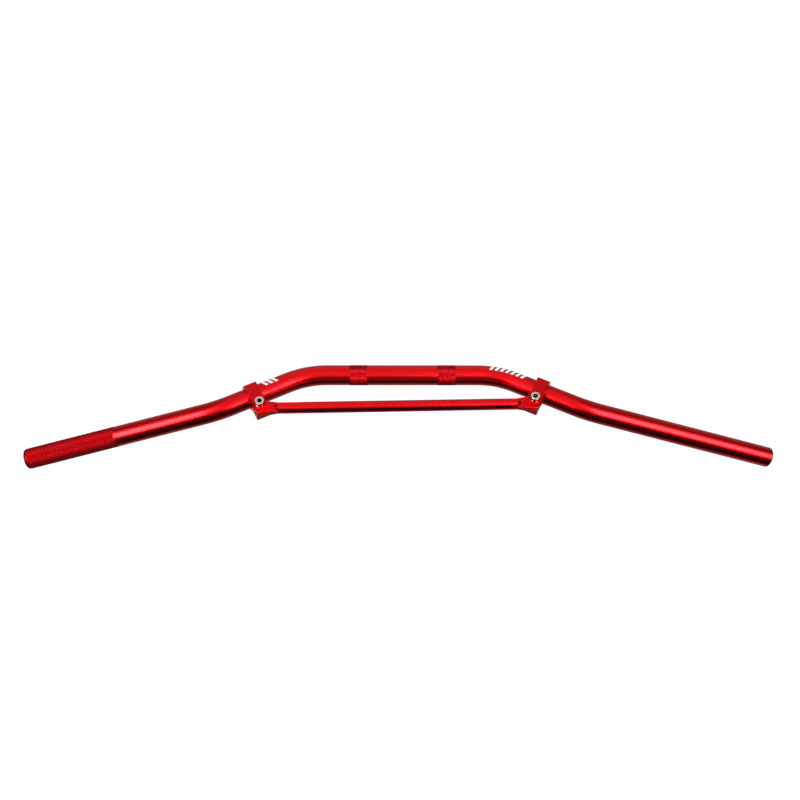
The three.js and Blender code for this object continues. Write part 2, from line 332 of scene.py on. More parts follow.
def anodised_tube():
    material, tree = new_material("red_anodised_drawn_aluminium")
    uv = add_node(tree, "ShaderNodeUVMap", uv_map="round_and_along")
    stretched = add_node(tree, "ShaderNodeMapping", {
        "Vector": uv.outputs["UV"], "Scale": (1 / DRAW_LINE_SPACING, 1 / DRAW_LINE_LENGTH, 1)})
    lines = add_node(tree, "ShaderNodeTexNoise", {
        "Vector": stretched, "Scale": 1, "Detail": DRAW_LINE_DETAIL})
    place = add_node(tree, "ShaderNodeTexCoord")
    clouds = add_node(tree, "ShaderNodeTexNoise", {
        "Vector": place.outputs["Object"], "Scale": 1 / CLOUD_SIZE, "Detail": NOISE_DETAIL})
    red = add_node(tree, "ShaderNodeMix", {
        "Factor": clouds, "A": linear(TUBE_RED), "B": linear(TUBE_RED_DEEP)}, data_type="RGBA")
    # The knurled skin's colour is painted shade: dark grooves between darker points.
    diamond = add_node(tree, "ShaderNodeAttribute", attribute_name="diamond")
    knurl_shade = add_node(tree, "ShaderNodeMix", {
        "Factor": diamond.outputs["Fac"], "A": linear(KNURL_GROOVE_SHADE), "B": linear(KNURL_POINT_SHADE)},
        data_type="RGBA")
    knurled = add_node(tree, "ShaderNodeAttribute", attribute_name="knurled")
    colour = add_node(tree, "ShaderNodeMix", {
        "Factor": knurled.outputs["Fac"], "A": red.outputs["Result"], "B": knurl_shade.outputs["Result"]},
        data_type="RGBA")
    plain = add_node(tree, "ShaderNodeMapRange", {
        "Value": lines, "To Min": TUBE_ROUGHNESS[0], "To Max": TUBE_ROUGHNESS[1]})
    roughness = add_node(tree, "ShaderNodeMapRange", {
        "Value": knurled.outputs["Fac"], "To Min": plain, "To Max": KNURL_ROUGHNESS})
    coat = add_node(tree, "ShaderNodeMapRange", {
        "Value": knurled.outputs["Fac"], "To Min": COAT_WEIGHT, "To Max": KNURL_COAT})
    bump = add_node(tree, "ShaderNodeBump", {"Height": lines, "Distance": DRAW_LINE_DEPTH})
    shader = add_node(tree, "ShaderNodeBsdfPrincipled", {
        "Base Color": colour.outputs["Result"], "Metallic": 1, "Roughness": roughness,
        "Coat Weight": coat, "Coat Roughness": COAT_ROUGHNESS, "Normal": bump})
    add_node(tree, "ShaderNodeOutputMaterial", {"Surface": shader})
    return material


def add_socket(tree, name, kind, direction="INPUT"):
    return tree.interface.new_socket(name, in_out=direction, socket_type=kind)


def knurling_tree():
    """Raises the marked points of a skin into the diamonds that two crossed rollers press."""
    tree = bpy.data.node_groups.new("pressed_knurling", "GeometryNodeTree")
    add_socket(tree, "Geometry", "NodeSocketGeometry")
    sockets = {name: add_socket(tree, name, kind) for name, kind in
               (("Height", "NodeSocketFloat"), ("Finish", "NodeSocketMaterial"))}
    add_socket(tree, "Geometry", "NodeSocketGeometry", "OUTPUT")
    given = add_node(tree, "NodeGroupInput")
    diamond = add_node(tree, "GeometryNodeInputNamedAttribute", {"Name": "diamond"}, data_type="FLOAT")
    knurled = add_node(tree, "GeometryNodeInputNamedAttribute", {"Name": "knurled"}, data_type="FLOAT")
    normal = add_node(tree, "GeometryNodeInputNormal")
    lift = add_node(tree, "ShaderNodeMath", {0: diamond, 1: given.outputs["Height"]}, operation="MULTIPLY")
    offset = add_node(tree, "ShaderNodeVectorMath", {0: normal, "Scale": lift}, operation="SCALE")
    raised = add_node(tree, "GeometryNodeSetPosition", {"Geometry": given, "Offset": offset})
    grooves = add_node(tree, "GeometryNodeTriangulate", {"Mesh": raised, "Selection": knurled},
                       quad_method="SHORTEST_DIAGONAL")
    real = add_node(tree, "GeometryNodeRealizeInstances", {"Geometry": grooves})
    dressed = add_node(tree, "GeometryNodeSetMaterial", {
        "Geometry": real, "Material": given.outputs["Finish"]})
    add_node(tree, "NodeGroupOutput", {"Geometry": dressed})
    return tree, sockets


def with_tree(name, mesh, tree, values):
    """Runs a Geometry Nodes tree on a mesh once and gives the result as a plain object."""
    rough = bpy.data.objects.new(name + "_rough", mesh)
    scene.collection.objects.link(rough)
    modifier = rough.modifiers.new(tree.name, "NODES")
    modifier.node_group = tree
    for socket, value in values:
        modifier[socket.identifier] = value
    return plain_object(name, rough)


def plain_object(name, rough):
    """The object with its modifiers made real, under its own name; the rough one is removed."""
    evaluated = rough.evaluated_get(bpy.context.evaluated_depsgraph_get())
    mesh = bpy.data.meshes.new_from_object(evaluated)
    mesh.name = name
    bpy.data.objects.remove(rough)
    piece = bpy.data.objects.new(name, mesh)
    scene.collection.objects.link(piece)
    return piece


(BODY,) = frame["bodies"]
knurling, knurling_inputs = knurling_tree()
tube_finish = anodised_tube()
tube = with_tree("bent_tube", ring_loft("tube_skin", tube_rings(), TUBE_SIDES), knurling, (
    (knurling_inputs["Height"], KNURL_HEIGHT), (knurling_inputs["Finish"], tube_finish)))
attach(tube, BODY)
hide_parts("main_tube")

# ---- Printed marks ----
# Slanted white bars, pad-printed on the front of both risers before the clamps go on. They are plain
# decoration: ink a few hundredths of a millimetre thick that follows the round of the tube.
MARK_INK = "E4F0F4"
INK_ROUGHNESS = (0.35, 0.5)
INK_SPECKLES = 900            # a metre
MARK_HEIGHT = 0.00006         # above the tube
MARK_ROOT = 0.00004           # below the tube's skin, so that no gap shows
MARK_BAR_WIDTH = 0.0032       # along the tube
MARK_BAR_STEP = 0.0058
MARK_SLANT = 0.0042           # how far a bar leans along the tube
MARK_STEPS = 10
# Side, bars, start along the centreline from where the first bend begins, and lowest and highest edge round
# the tube, counted from straight forward towards the underside.
MARKS = {"left_printed_bars": (-1, 3, 0.0550, 2.0, 52.0), "right_printed_bars": (1, 7, 0.0120, 4.0, 60.0)}


def printed_ink():
    """White pad-printing ink: a thin opaque film, slightly glossy."""
    material, tree = new_material("white_pad_printing_ink")
    place = add_node(tree, "ShaderNodeTexCoord")
    speckle = add_node(tree, "ShaderNodeTexNoise", {
        "Vector": place.outputs["Object"], "Scale": INK_SPECKLES, "Detail": NOISE_DETAIL})
    roughness = add_node(tree, "ShaderNodeMapRange", {
        "Value": speckle, "To Min": INK_ROUGHNESS[0], "To Max": INK_ROUGHNESS[1]})
    shader = add_node(tree, "ShaderNodeBsdfPrincipled", {
        "Base Color": linear(MARK_INK), "Roughness": roughness})
    add_node(tree, "ShaderNodeOutputMaterial", {"Surface": shader})
    return material


def past_first_bend(side, reach):
    """The centreline's point and direction at a distance from where the first bend begins."""
    turned = min(reach / FIRST_BEND_RADIUS, riser_tilt)
    straight = reach - turned * FIRST_BEND_RADIUS
    begins = FIRST_BEND_X - FIRST_BEND_RADIUS * math.tan(riser_tilt / 2)
    direction = Vector((side * math.cos(turned), 0, math.sin(turned)))
    point = Vector((side * (begins + FIRST_BEND_RADIUS * math.sin(turned)), 0,
                    FIRST_BEND_RADIUS * (1 - math.cos(turned))))
    return point + direction * straight, direction


def mesh_object(name, solid):
    """Turns finished mesh work into an object in the scene."""
    mesh = bpy.data.meshes.new(name)
    solid.to_mesh(mesh)
    solid.free()
    made = bpy.data.objects.new(name, mesh)
    scene.collection.objects.link(made)
    return made


def printed_bars(name, side, bars, start, lowest, highest):
    """Thin closed patches wrapped round a riser and its bend."""
    forward = Vector((0, 1, 0))
    patch = bmesh.new()
    for bar in range(bars):
        strips = {}
        for edge in (0, 1):
            for radius in (TUBE_RADIUS - MARK_ROOT, TUBE_RADIUS + MARK_HEIGHT):
                strip = []
                for step in range(MARK_STEPS + 1):
                    share = step / MARK_STEPS
                    angle = math.radians(lowest + (highest - lowest) * share)
                    reach = start + bar * MARK_BAR_STEP + edge * MARK_BAR_WIDTH + MARK_SLANT * share
                    point, direction = past_first_bend(side, reach)
                    under = forward.cross(direction) * side
                    out = forward * math.cos(angle) + under * math.sin(angle)
                    strip.append(patch.verts.new(point + out * radius))
                strips[edge, radius > TUBE_RADIUS] = strip
        rim = [strips[0, False], strips[1, False], strips[1, True], strips[0, True]]
        for place, strip in enumerate(rim):
            beside = rim[(place + 1) % len(rim)]
            for step in range(MARK_STEPS):
                patch.faces.new((strip[step], beside[step], beside[step + 1], strip[step + 1]))
        for step in (0, MARK_STEPS):
            patch.faces.new([strip[step] for strip in rim])
    bmesh.ops.recalc_face_normals(patch, faces=patch.faces)
    return mesh_object(name, patch)


ink = printed_ink()
for mark, shape in MARKS.items():
    bars = printed_bars(mark, *shape)
    bars.data.materials.append(ink)
    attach(bars, BODY)

# ---- Crossbar clamps ----
# Two one-piece clamps cut from aluminium plate, bead-blasted and anodised. Each slides over the tube to its
# riser, and its two ears close on the crossbar's flat end when the screw is tightened.
CLAMP_WIDTH = 0.0143          # along the riser
CLAMP_OUTER_RADIUS = 0.0142
CLAMP_FRONT = 0.0149          # flat front face, ahead of the tube's axis
CLAMP_BACK = -0.0065          # back of the rear ear
CLAMP_EAR_END = 0.0263
CLAMP_BROW = 0.0077           # lower corner of the front face, below the tube's axis
CLAMP_BROW_ROUND = 0.0014
CLAMP_EDGE = 0.00045          # broken edges
EDGE_STEPS = 3
EDGE_ANGLE = 28               # edges sharper than this are broken
FACE_WEIGHT = 100             # how fully large flat faces hold their shading next to a broken edge
FIT_GAP = 0.0003
CROSSBAR_FORWARD = 0.0066
TAB_THICKNESS = 0.006
SCREW_OFFSET = 0.0192         # screw axis, from the tube's axis
SCREW_DIAMETER = 0.006
POCKET_DIAMETER = 0.0118      # spot face for the screw head
POCKET_DEPTH = 0.0023
CLAMP_AT = {-1: 0.0640, 1: 0.0506}      # along each riser from its lower corner
SIDE_NAME = {-1: "left", 1: "right"}
ARC_STEPS = 48
ROUND_SIDES = 64              # of holes and of the round bar
CUT_PAST = 0.002
SMOOTH_BELOW = 10             # edges flatter than this are round surface, not corners


def clamp_place(side):
    """From a clamp's own axes, along the riser, forward and up to the ear tips, to the bar's."""
    along = riser_direction(side) * side
    upwards = Vector((-side * math.sin(riser_tilt), 0, math.cos(riser_tilt)))
    place = Matrix((along, Vector((0, 1, 0)), upwards)).transposed().to_4x4()
    place.translation = first_corner(side) + riser_direction(side) * CLAMP_AT[side]
    return place


def arc(radius, start, finish, steps):
    """Points round the origin, from one angle to another, both in radians."""
    angles = [start + (finish - start) * step / steps for step in range(steps + 1)]
    return [Vector((radius * math.cos(angle), radius * math.sin(angle))) for angle in angles]


def clamp_outline():
    """The side view, forward and upward: round the outside, then down the slot and round the bore."""
    corner = Vector((CLAMP_FRONT, -CLAMP_BROW))
    touch = math.atan2(corner.y, corner.x) - math.acos(CLAMP_OUTER_RADIUS / corner.length)
    tangent = Vector((math.cos(touch), math.sin(touch))) * CLAMP_OUTER_RADIUS
    towards = (tangent - corner).normalized()
    before = corner + Vector((0, CLAMP_BROW_ROUND))
    after = corner + towards * CLAMP_BROW_ROUND
    brow = []
    for step in range(ROUND_STEPS + 1):
        share = step / ROUND_STEPS
        brow.append(before * (1 - share) ** 2 + corner * 2 * share * (1 - share) + after * share ** 2)
    back = -math.pi - math.acos(-CLAMP_BACK / CLAMP_OUTER_RADIUS)
    bore = TUBE_RADIUS + FIT_GAP
    slot = TAB_THICKNESS / 2 + FIT_GAP
    slot_back, slot_front = CROSSBAR_FORWARD - slot, CROSSBAR_FORWARD + slot
    outline = [Vector((CLAMP_FRONT, CLAMP_EAR_END))] + brow
    outline += arc(CLAMP_OUTER_RADIUS, touch, back, ARC_STEPS)
    outline += [Vector((CLAMP_BACK, CLAMP_EAR_END)), Vector((slot_back, CLAMP_EAR_END))]
    outline += arc(bore, math.acos(slot_back / bore) - 2 * math.pi, math.acos(slot_front / bore),
                   2 * ARC_STEPS)
    outline += [Vector((slot_front, CLAMP_EAR_END))]
    return outline


def prism(name, outline, axis_x, axis_y, depth_axis, depth):
    """A flat outline pushed out equally to both sides of its plane."""
    solid = bmesh.new()
    layers = []
    for half in (-depth / 2, depth / 2):
        layers.append([solid.verts.new(axis_x * p.x + axis_y * p.y + depth_axis * half) for p in outline])
    solid.faces.new(layers[0])
    solid.faces.new(layers[1])
    for place in range(len(outline)):
        beside = (place + 1) % len(outline)
        solid.faces.new((layers[0][place], layers[0][beside], layers[1][beside], layers[1][place]))
    bmesh.ops.recalc_face_normals(solid, faces=solid.faces)
    return mesh_object(name, solid)


def rod(name, radius, start, finish, sides):
    """A plain cylinder between two points."""
    direction = finish - start
    turned = direction.to_track_quat("Z", "Y").to_matrix().to_4x4()
    solid = bmesh.new()
    bmesh.ops.create_cone(
        solid, cap_ends=True, segments=sides, radius1=radius, radius2=radius, depth=direction.length,
        matrix=Matrix.Translation((start + finish) / 2) @ turned)
    return mesh_object(name, solid)


def combine(target, tool, operation):
    """Cuts the tool away from the target, or joins it on."""
    modifier = target.modifiers.new(operation, "BOOLEAN")
    modifier.operation = operation
    modifier.solver = "EXACT"
    modifier.object = tool
    result = plain_object(target.name, target)
    bpy.data.objects.remove(tool)
    return result


def break_edges(piece, width, steps, angle):
    """Rounds every sharp edge a little, with the flat faces kept flat to the light."""
    bevel = piece.modifiers.new("broken_edges", "BEVEL")
    bevel.width = width
    bevel.segments = steps
    bevel.limit_method = "ANGLE"
    bevel.angle_limit = math.radians(angle)
    piece.data.shade_smooth()
    flats = piece.modifiers.new("flat_faces", "WEIGHTED_NORMAL")
    flats.weight = FACE_WEIGHT
    flats.keep_sharp = True
    return plain_object(piece.name, piece)


def crossbar_clamp(name):
    """One clamp in its own axes: the bored and slotted block, then the screw's hole and spot face."""
    forward, upwards = Vector((0, 1, 0)), Vector((0, 0, 1))
    block = prism(name, clamp_outline(), forward, upwards, Vector((1, 0, 0)), CLAMP_WIDTH)
    axis = Vector((0, 0, SCREW_OFFSET))
    hole = rod("hole", SCREW_DIAMETER / 2 + FIT_GAP, axis + forward * (CLAMP_BACK - CUT_PAST),
               axis + forward * (CLAMP_FRONT + CUT_PAST), ROUND_SIDES)
    pocket = rod("pocket", POCKET_DIAMETER / 2, axis + forward * (CLAMP_FRONT - POCKET_DEPTH),
                 axis + forward * (CLAMP_FRONT + CUT_PAST), ROUND_SIDES)
    block = combine(combine(block, hole, "DIFFERENCE"), pocket, "DIFFERENCE")
    return break_edges(block, CLAMP_EDGE, EDGE_STEPS, EDGE_ANGLE)


# Bead-blasted anodising: the same red dye over a finely pitted surface, a little darker and duller than the
# drawn tube.
CLAMP_RED = "CC0F1A"
CLAMP_RED_DEEP = "B80B14"
CLAMP_ROUGHNESS = (0.28, 0.36)
CLAMP_COAT = 0.05             # the blasted surface scatters most of the clear layer's glare
BLAST_GRAIN = 0.0004          # real beads leave 0.1 mm dimples; drawn coarser so that they show
BLAST_DEPTH = 0.000012


def anodised_clamp():
    material, tree = new_material("red_anodised_bead_blasted_aluminium")
    place = add_node(tree, "ShaderNodeTexCoord")
    grain = add_node(tree, "ShaderNodeTexNoise", {
        "Vector": place.outputs["Object"], "Scale": 1 / BLAST_GRAIN, "Detail": NOISE_DETAIL})
    clouds = add_node(tree, "ShaderNodeTexNoise", {
        "Vector": place.outputs["Object"], "Scale": 1 / CLOUD_SIZE, "Detail": NOISE_DETAIL})
    colour = add_node(tree, "ShaderNodeMix", {
        "Factor": clouds, "A": linear(CLAMP_RED), "B": linear(CLAMP_RED_DEEP)}, data_type="RGBA")
    roughness = add_node(tree, "ShaderNodeMapRange", {
        "Value": grain, "To Min": CLAMP_ROUGHNESS[0], "To Max": CLAMP_ROUGHNESS[1]})
    bump = add_node(tree, "ShaderNodeBump", {"Height": grain, "Distance": BLAST_DEPTH})
    shader = add_node(tree, "ShaderNodeBsdfPrincipled", {
        "Base Color": colour.outputs["Result"], "Metallic": 1, "Roughness": roughness,
        "Coat Weight": CLAMP_COAT, "Coat Roughness": COAT_ROUGHNESS, "Normal": bump})
    add_node(tree, "ShaderNodeOutputMaterial", {"Surface": shader})
    return material


clamp_finish = anodised_clamp()
for side, word in SIDE_NAME.items():
    clamp = crossbar_clamp(word + "_clamp")
    clamp.data.transform(clamp_place(side))
    clamp.data.materials.clear()
    clamp.data.materials.append(clamp_finish)
    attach(clamp, BODY)
    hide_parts(word + "_crossbar_clamp")

# ---- Crossbar ----
# A 12.4 mm aluminium bar that ties the risers together. Each end is forged flat into a drilled tab, wider
# than the bar, and the round bar tapers into it in a short cone.
CROSSBAR_DIAMETER = 0.0124
CROSSBAR_LIFT = 0.0024        # crossbar axis, above the screw holes in its tabs
TAB_WIDTH = 0.015
TAB_LENGTH = 0.010            # from the screw hole to where the tab narrows
TAB_NECK = 0.009              # length over which the tab meets the round bar
RAMP_LENGTH = 0.0046          # of the cone
TAB_EDGE = 0.0009             # forging leaves the tab's edges round
TAB_EDGE_STEPS = 4
MERGE_WITHIN = 1e-6


def spun(name, profile, sides):
    """A closed solid turned round the X axis from points of radius and distance."""
    solid = bmesh.new()
    points = [solid.verts.new((along, 0, radius)) for radius, along in profile]
    edges = [solid.edges.new(pair) for pair in zip(points, points[1:])]
    bmesh.ops.spin(
        solid, geom=points + edges, axis=(1, 0, 0), cent=(0, 0, 0), angle=2 * math.pi, steps=sides)
    bmesh.ops.remove_doubles(solid, verts=solid.verts, dist=MERGE_WITHIN)
    bmesh.ops.recalc_face_normals(solid, faces=solid.faces)
    return mesh_object(name, solid)


def crossbar_end(side):
    """The crossbar's axis where it passes a clamp screw."""
    return clamp_place(side) @ Vector((0, CROSSBAR_FORWARD, SCREW_OFFSET)) + Vector((0, 0, CROSSBAR_LIFT))


def tab_outline():
    """Half round nose, straight sides and a taper in to the bar, from the screw hole along the bar."""
    half = TAB_WIDTH / 2
    neck = CROSSBAR_DIAMETER / 2 - FIT_GAP
    ends = TAB_LENGTH + TAB_NECK
    nose = arc(half, math.pi / 2, 3 * math.pi / 2, ARC_STEPS)
    corners = ((TAB_LENGTH, -half), (ends, -neck), (ends, neck), (TAB_LENGTH, half))
    return nose + [Vector(corner) for corner in corners]


def crossbar():
    """The bar between the two screws, made along X from the left screw hole and then moved into place."""
    left, right = crossbar_end(-1), crossbar_end(1)
    span = (right - left).length
    along, forward, upwards = Vector((1, 0, 0)), Vector((0, 1, 0)), Vector((0, 0, 1))
    radius = CROSSBAR_DIAMETER / 2
    ramp_foot = TAB_LENGTH + TAB_NECK - RAMP_LENGTH
    ramp_top = ramp_foot + RAMP_LENGTH
    profile = ((0, ramp_foot), (TAB_THICKNESS / 2, ramp_foot), (radius, ramp_top),
               (radius, span - ramp_top), (TAB_THICKNESS / 2, span - ramp_foot), (0, span - ramp_foot))
    bar = spun("forged_crossbar", profile, ROUND_SIDES)
    for hole_at, direction in ((0.0, 1), (span, -1)):
        tab = prism("tab", tab_outline(), along * direction, upwards, forward, TAB_THICKNESS)
        hole = rod("hole", SCREW_DIAMETER / 2 + FIT_GAP, Vector((0, -TAB_THICKNESS, -CROSSBAR_LIFT)),
                   Vector((0, TAB_THICKNESS, -CROSSBAR_LIFT)), ROUND_SIDES)
        tab = break_edges(combine(tab, hole, "DIFFERENCE"), TAB_EDGE, TAB_EDGE_STEPS, EDGE_ANGLE)
        tab.data.transform(Matrix.Translation(along * hole_at))
        bar = combine(bar, tab, "UNION")
    bar.data.shade_smooth()
    bar.data.set_sharp_from_angle(angle=math.radians(SMOOTH_BELOW))
    across = (right - left).normalized()
    place = Matrix((across, forward, across.cross(forward))).transposed().to_4x4()
    place.translation = left
    bar.data.transform(place)
    return bar


# The crossbar is anodised with the tube, over a surface that is turned and lightly brushed round the bar.
CROSSBAR_ROUGHNESS = (0.22, 0.30)
TURNING_SPACING = 0.0005      # real marks are near 0.05 mm; drawn coarser so that they show
TURNING_DEPTH = 0.000005


def anodised_crossbar():
    material, tree = new_material("red_anodised_turned_aluminium")
    place = add_node(tree, "ShaderNodeTexCoord")
    stretched = add_node(tree, "ShaderNodeMapping", {
        "Vector": place.outputs["Object"], "Scale": (1 / TURNING_SPACING, 1 / CLOUD_SIZE, 1 / CLOUD_SIZE)})
    lines = add_node(tree, "ShaderNodeTexNoise", {"Vector": stretched, "Scale": 1, "Detail": NOISE_DETAIL})
    clouds = add_node(tree, "ShaderNodeTexNoise", {
        "Vector": place.outputs["Object"], "Scale": 1 / CLOUD_SIZE, "Detail": NOISE_DETAIL})
    colour = add_node(tree, "ShaderNodeMix", {
        "Factor": clouds, "A": linear(TUBE_RED), "B": linear(TUBE_RED_DEEP)}, data_type="RGBA")
    roughness = add_node(tree, "ShaderNodeMapRange", {
        "Value": lines, "To Min": CROSSBAR_ROUGHNESS[0], "To Max": CROSSBAR_ROUGHNESS[1]})
    bump = add_node(tree, "ShaderNodeBump", {"Height": lines, "Distance": TURNING_DEPTH})
    shader = add_node(tree, "ShaderNodeBsdfPrincipled", {
        "Base Color": colour.outputs["Result"], "Metallic": 1, "Roughness": roughness,
        "Coat Weight": COAT_WEIGHT, "Coat Roughness": COAT_ROUGHNESS, "Normal": bump})
    add_node(tree, "ShaderNodeOutputMaterial", {"Surface": shader})
    return material


bar = crossbar()
bar.data.materials.clear()
bar.data.materials.append(anodised_crossbar())
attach(bar, BODY)
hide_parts("crossbar")

# ---- Clamp screws ----
# Two M6 socket cap screws of bright zinc-plated steel. Each sits in its clamp's spot face, passes through
# the front ear and the crossbar's tab, and pulls on the thread in the rear ear.
SCREW_LENGTH = 0.020          # under the head
SCREW_HEAD_DIAMETER = 0.0098
SCREW_HEAD_HEIGHT = 0.006
HEX_ACROSS_FLATS = 0.005
HEX_SIDES = 6
HEX_DEPTH = 0.003
DRILL_POINT_ANGLE = 118       # the drill goes in before the broach and leaves its point below the hexagon
THREAD_PITCH = 0.001
THREAD_DEPTH = 0.0005
THREAD_LENGTH = 0.012
SCREW_EDGE = 0.0006
SCREW_EDGE_ANGLE = 40         # the flats that make up the round head and shank meet at less than this
SCREW_SIDES = 48
SHANK_SIDES = 24
RINGS_A_PITCH = 4
SCREW_TURN_SEED = 4           # each screw stops at its own angle
PLATING = "C2BDB2"
PLATING_ROUGHNESS = (0.14, 0.24)
PLATING_GRAINS = 1500         # a metre
# Painted shade on the walls of the hexagon socket.
SOCKET_SHADE = "4A4640"


def screws_tree():
    """A cap screw with its head forward, standing on every point of the mesh it is given."""
    tree = bpy.data.node_groups.new("cap_screws", "GeometryNodeTree")
    add_socket(tree, "Geometry", "NodeSocketGeometry")
    sockets = {name: add_socket(tree, name, "NodeSocketFloat") for name in (
        "Head Radius", "Head Height", "Shank Radius", "Shank Length", "Socket Radius", "Socket Depth",
        "Point Radius", "Point Depth", "Thread Pitch", "Thread Depth", "Thread Length")}
    sockets["Turn Seed"] = add_socket(tree, "Turn Seed", "NodeSocketInt")
    sockets["Finish"] = add_socket(tree, "Finish", "NodeSocketMaterial")
    add_socket(tree, "Geometry", "NodeSocketGeometry", "OUTPUT")
    given = add_node(tree, "NodeGroupInput").outputs

    # The head stands on the seat. Its hexagon is broached past the top, over a drilled point.
    head = add_node(tree, "GeometryNodeMeshCone", {
        "Vertices": SCREW_SIDES, "Radius Top": given["Head Radius"], "Radius Bottom": given["Head Radius"],
        "Depth": given["Head Height"]})
    floor_at = add_node(tree, "ShaderNodeMath", {0: given["Head Height"], 1: given["Socket Depth"]},
                        operation="SUBTRACT")
    floor_place = add_node(tree, "ShaderNodeCombineXYZ", {"Z": floor_at})
    hexagon = add_node(tree, "GeometryNodeMeshCone", {
        "Vertices": HEX_SIDES, "Radius Top": given["Socket Radius"], "Radius Bottom": given["Socket Radius"],
        "Depth": given["Head Height"]})
    hexagon_placed = add_node(tree, "GeometryNodeTransform", {
        "Geometry": hexagon, "Translation": floor_place})
    # The hexagon socket's walls are marked for painted shade.
    shaded_socket = add_node(tree, "GeometryNodeStoreNamedAttribute", {
        "Geometry": hexagon_placed, "Name": "socket_shade_mask", "Value": hexagon.outputs["Side"]},
        data_type="FLOAT", domain="FACE")
    point = add_node(tree, "GeometryNodeMeshCone", {
        "Vertices": SCREW_SIDES // 2, "Radius Top": given["Point Radius"], "Depth": given["Point Depth"]})
    point_at = add_node(tree, "ShaderNodeMath", {0: floor_at, 1: given["Point Depth"]},
                        operation="SUBTRACT")
    point_place = add_node(tree, "ShaderNodeCombineXYZ", {"Z": point_at})
    point_placed = add_node(tree, "GeometryNodeTransform", {"Geometry": point, "Translation": point_place})
    drilled = add_node(tree, "GeometryNodeMeshBoolean", {"Mesh 1": head, "Mesh 2": point_placed},
                       operation="DIFFERENCE", solver="EXACT")
    broached = add_node(tree, "GeometryNodeMeshBoolean", {"Mesh 1": drilled, "Mesh 2": shaded_socket},
                        operation="DIFFERENCE", solver="EXACT")

    # The shank has a ring every quarter of a pitch. Over the threaded length each point is pushed in by its
    # place on the helix: the flank goes from 0 to a half and back in a pitch, so it is taken twice.
    rod_up = add_node(tree, "GeometryNodeMeshCone", {
        "Vertices": SHANK_SIDES, "Side Segments": round(SCREW_LENGTH / THREAD_PITCH * RINGS_A_PITCH),
        "Radius Top": given["Shank Radius"], "Radius Bottom": given["Shank Radius"],
        "Depth": given["Shank Length"]})
    tip_at = add_node(tree, "ShaderNodeMath", {0: given["Shank Length"], 1: -1.0}, operation="MULTIPLY")
    tip_place = add_node(tree, "ShaderNodeCombineXYZ", {"Z": tip_at})
    shank = add_node(tree, "GeometryNodeTransform", {"Geometry": rod_up, "Translation": tip_place})
    position = add_node(tree, "GeometryNodeInputPosition")
    at = add_node(tree, "ShaderNodeSeparateXYZ", {"Vector": position}).outputs
    angle = add_node(tree, "ShaderNodeMath", {0: at["Y"], 1: at["X"]}, operation="ARCTAN2")
    turned = add_node(tree, "ShaderNodeMath", {0: angle, 1: 2 * math.pi}, operation="DIVIDE")
    pitches = add_node(tree, "ShaderNodeMath", {0: at["Z"], 1: given["Thread Pitch"]}, operation="DIVIDE")
    phase = add_node(tree, "ShaderNodeMath", {0: pitches, 1: turned}, operation="ADD")
    flank = add_node(tree, "ShaderNodeMath", {0: phase, 1: 0.5}, operation="PINGPONG")
    inwards = add_node(tree, "ShaderNodeMath", {0: given["Thread Depth"], 1: -2.0}, operation="MULTIPLY")
    groove = add_node(tree, "ShaderNodeMath", {0: flank, 1: inwards}, operation="MULTIPLY")
    thread_top = add_node(tree, "ShaderNodeMath", {0: tip_at, 1: given["Thread Length"]}, operation="ADD")
    threaded = add_node(tree, "ShaderNodeMath", {0: at["Z"], 1: thread_top}, operation="LESS_THAN")
    push = add_node(tree, "ShaderNodeMath", {0: groove, 1: threaded}, operation="MULTIPLY")
    radial = add_node(tree, "ShaderNodeCombineXYZ", {"X": at["X"], "Y": at["Y"]})
    outwards = add_node(tree, "ShaderNodeVectorMath", {0: radial}, operation="NORMALIZE")
    pushed = add_node(tree, "ShaderNodeVectorMath", {0: outwards, "Scale": push}, operation="SCALE")
    cut_shank = add_node(tree, "GeometryNodeSetPosition", {"Geometry": shank, "Offset": pushed})

    whole = add_node(tree, "GeometryNodeJoinGeometry", {"Geometry": cut_shank})
    tree.links.new(broached.outputs["Mesh"], whole.inputs["Geometry"])
    spin = add_node(tree, "FunctionNodeRandomValue", {
        "Min": 0.0, "Max": math.pi, "Seed": given["Turn Seed"]}, data_type="FLOAT")
    about = add_node(tree, "ShaderNodeCombineXYZ", {"Z": spin.outputs["Value"]})
    facing = add_node(tree, "FunctionNodeEulerToRotation", {"Euler": (-math.pi / 2, 0, 0)})
    spun_round = add_node(tree, "FunctionNodeEulerToRotation", {"Euler": about})
    rotation = add_node(tree, "FunctionNodeRotateRotation", {"Rotation": facing, "Rotate By": spun_round},
                        rotation_space="LOCAL")
    placed = add_node(tree, "GeometryNodeInstanceOnPoints", {
        "Points": given["Geometry"], "Instance": whole, "Rotation": rotation})
    real = add_node(tree, "GeometryNodeRealizeInstances", {"Geometry": placed})
    dressed = add_node(tree, "GeometryNodeSetMaterial", {"Geometry": real, "Material": given["Finish"]})
    add_node(tree, "NodeGroupOutput", {"Geometry": dressed})
    return tree, sockets


def plated_steel():
    """Bright zinc on steel: a mirror softened by the plating's fine grain, with painted shade on the socket's
    walls.
    """
    material, tree = new_material("bright_zinc_plated_steel")
    place = add_node(tree, "ShaderNodeTexCoord")
    grain = add_node(tree, "ShaderNodeTexNoise", {
        "Vector": place.outputs["Object"], "Scale": PLATING_GRAINS, "Detail": NOISE_DETAIL})
    roughness = add_node(tree, "ShaderNodeMapRange", {
        "Value": grain, "To Min": PLATING_ROUGHNESS[0], "To Max": PLATING_ROUGHNESS[1]})
    socket_shade_mask = add_node(tree, "ShaderNodeAttribute", attribute_name="socket_shade_mask")
    colour = add_node(tree, "ShaderNodeMix", {
        "Factor": socket_shade_mask.outputs["Fac"], "A": linear(PLATING), "B": linear(SOCKET_SHADE)}, data_type="RGBA")
    shader = add_node(tree, "ShaderNodeBsdfPrincipled", {
        "Base Color": colour.outputs["Result"], "Metallic": 1, "Roughness": roughness})
    add_node(tree, "ShaderNodeOutputMaterial", {"Surface": shader})
    return material


